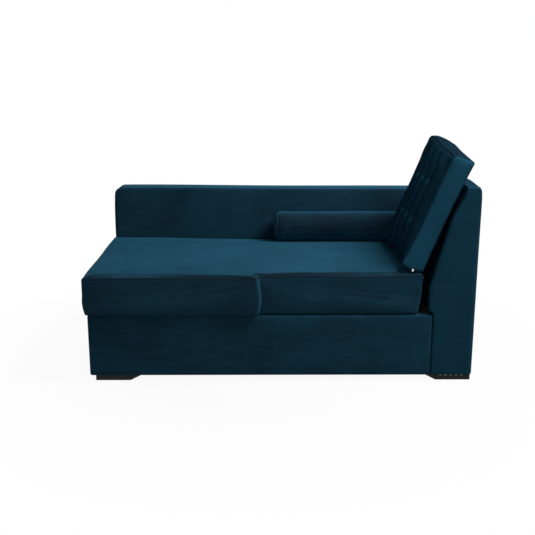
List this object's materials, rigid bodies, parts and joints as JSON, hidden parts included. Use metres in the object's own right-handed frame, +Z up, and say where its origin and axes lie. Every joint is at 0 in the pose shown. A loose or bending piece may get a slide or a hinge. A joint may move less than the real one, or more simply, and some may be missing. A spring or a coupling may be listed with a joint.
{
  "type": "pull-out sofa bed",
  "caption": "Velvet pull-out sofa bed with a low arm, a sloping back block, an L-shaped seat that draws out lengthwise on casters, a tufted back cushion and a bolster.",
  "frame": {"origin": "on the floor, under the middle of the closed sofa's outline", "axes": "+X from the foot end to the back block, +Y from the open near side to the arm, +Z up"},
  "size_m": [1.546, 0.86, 0.9308],
  "materials": {
    "velvet": "matte",
    "foam": "matte",
    "plywood": "matte",
    "timber": "matte",
    "stained_wood": "satin",
    "steel": "satin",
    "nylon": "matte",
    "rubber": "matte",
    "zip_tape": "matte",
    "zip_metal": "polished"
  },
  "bodies": {
    "base": {"near_side_board": "plywood", "near_side_cover": "velvet", "arm_inner_board": "plywood", "arm_outer_board": "plywood", "arm_bottom_rail": "timber", "arm_top_rail": "timber", "arm_posts": "timber", "arm_cover": "velvet", "back_rear_board": "plywood", "back_lower_board": "plywood", "back_slope_board": "plywood", "back_ribs": "plywood", "back_bottom_rails": "timber", "back_top_rail": "timber", "back_cover": "velvet", "foot_end_near_leg": "stained_wood", "foot_end_far_leg": "stained_wood", "head_end_near_leg": "stained_wood", "head_end_far_leg": "stained_wood", "foot_screws": "steel", "cross_rails": "timber", "corner_block": "timber", "middle_deck_bearer": "timber", "head_deck_bearer": "timber", "deck_slats": "timber", "near_runner": "steel", "far_runner": "steel", "runner_stops": "nylon"},
    "seat": {"seat_cover": "velvet", "seat_foam": "foam", "seat_edge_pad": "foam", "seat_near_rail": "timber", "seat_runner_rail": "timber", "seat_far_rail": "timber", "seat_foot_rail": "timber", "seat_head_rail": "timber", "seat_slats": "timber", "near_roller_bracket": "steel", "far_roller_bracket": "steel", "foot_panel_board": "plywood", "foot_panel_cover": "velvet", "foot_panel_angles": "steel", "caster_blocks": "timber", "near_caster_fork": "steel", "far_caster_fork": "steel", "near_caster_axle": "steel", "far_caster_axle": "steel"},
    "near_wheel": {"near_caster_wheel": "rubber"},
    "far_wheel": {"far_caster_wheel": "rubber"},
    "near_runner_roller": {"near_roller": "nylon"},
    "far_runner_roller": {"far_roller": "nylon"},
    "back_cushion": {"cushion_cover": "velvet", "cushion_foam": "foam", "cushion_zip_tape": "zip_tape", "cushion_zip_slider": "zip_metal", "cushion_buttons": "velvet"},
    "bolster": {"bolster_cover": "velvet", "bolster_foam": "foam", "bolster_zip": "zip_tape"}
  },
  "joints": [
    {"name": "seat_pull", "type": "slide", "parent": "base", "child": "seat", "axis": [-1, 0, 0], "range_m": [0, 0.69]},
    {"name": "cushion_lay_down", "type": "hinge", "parent": "seat", "child": "back_cushion", "pos_m": [0.4887, -0.12, 0.3328], "axis": [0, 1, 0], "range_deg": [0, 64]},
    {"name": "bolster_lift", "type": "slide", "parent": "seat", "child": "bolster", "axis": [0, 0, 1], "range_m": [0, 0.3]},
    {"name": "near_wheel_roll", "type": "hinge", "parent": "seat", "child": "near_wheel", "pos_m": [-0.69, -0.25, 0.026], "axis": [0, -1, 0], "range_deg": [0, 1582]},
    {"name": "far_wheel_roll", "type": "hinge", "parent": "seat", "child": "far_wheel", "pos_m": [-0.69, 0.185, 0.026], "axis": [0, -1, 0], "range_deg": [0, 1582]},
    {"name": "near_roller_roll", "type": "hinge", "parent": "seat", "child": "near_runner_roller", "pos_m": [0.5, -0.367, 0.2465], "axis": [0, -1, 0], "range_deg": [0, 2636]},
    {"name": "far_roller_roll", "type": "hinge", "parent": "seat", "child": "far_runner_roller", "pos_m": [0.5, 0.302, 0.2465], "axis": [0, -1, 0], "range_deg": [0, 2636]}
  ],
  "couplings": [
    {"joint": "cushion_lay_down", "follows": "seat_pull", "rad_per_m": 1.6188},
    {"joint": "near_wheel_roll", "follows": "seat_pull", "rad_per_m": 40},
    {"joint": "far_wheel_roll", "follows": "seat_pull", "rad_per_m": 40},
    {"joint": "near_roller_roll", "follows": "seat_pull", "rad_per_m": 66.667},
    {"joint": "far_roller_roll", "follows": "seat_pull", "rad_per_m": 66.667}
  ]
}
